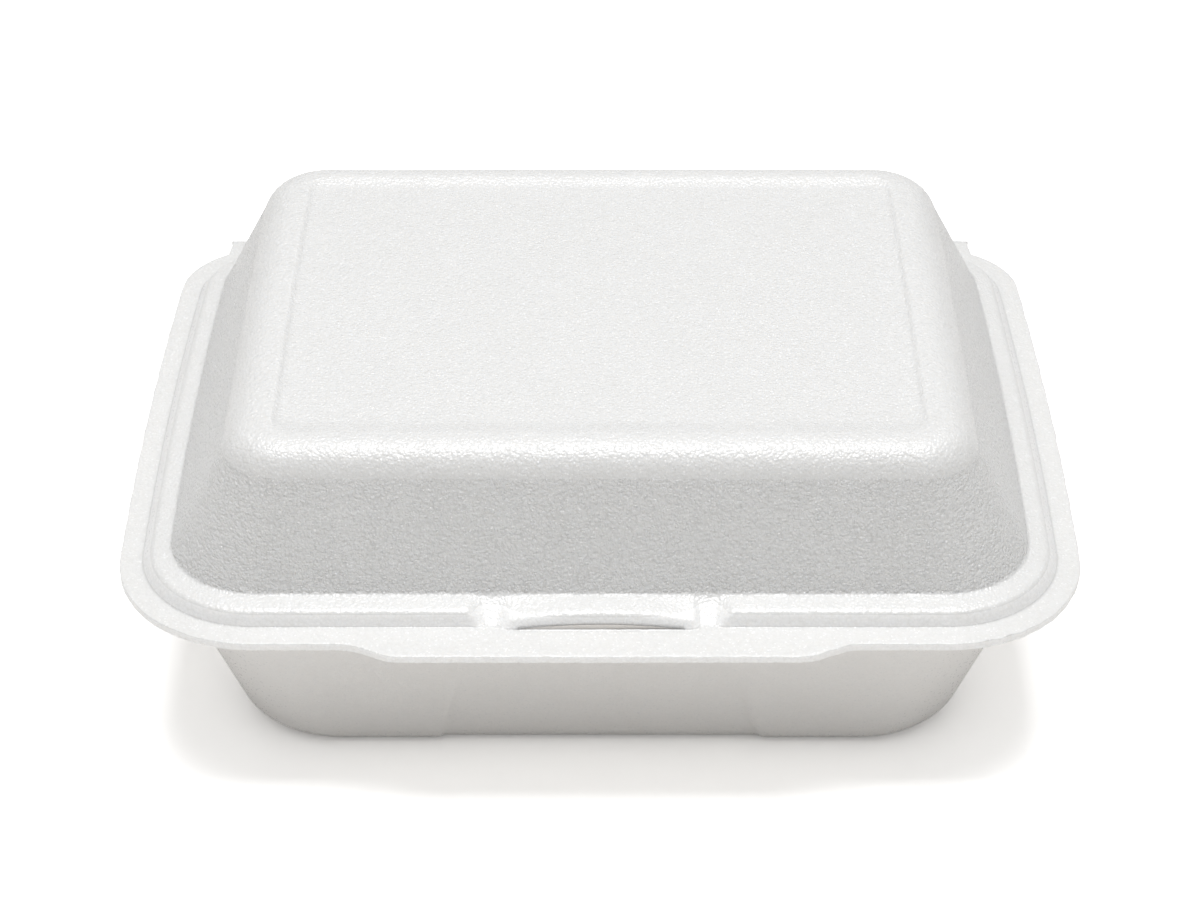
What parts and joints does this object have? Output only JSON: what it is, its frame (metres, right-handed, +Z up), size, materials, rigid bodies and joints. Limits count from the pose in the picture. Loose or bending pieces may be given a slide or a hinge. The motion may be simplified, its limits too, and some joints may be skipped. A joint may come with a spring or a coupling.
{
  "type": "foam clamshell container",
  "caption": "Rectangular foam food container with a sloped tray, a domed lid on a back fold, a front lifting tab and a crescent slot latch.",
  "frame": {"origin": "centre of the tray's flat underside, below the centre of the rim", "axes": "+X along the front edge, +Y from the front to the hinge fold at the back, +Z up"},
  "size_m": [0.2412, 0.1944, 0.0936],
  "materials": {
    "foam": "soft white expanded polystyrene sheet"
  },
  "bodies": {
    "tray": {"tray": "foam"},
    "lid": {"lid": "foam"}
  },
  "joints": [
    {"name": "lid_hinge", "type": "hinge", "parent": "tray", "child": "lid", "pos_m": [0, 0.0956, 0.0499], "axis": [-1, 0, 0], "range_deg": [0, 180]}
  ]
}
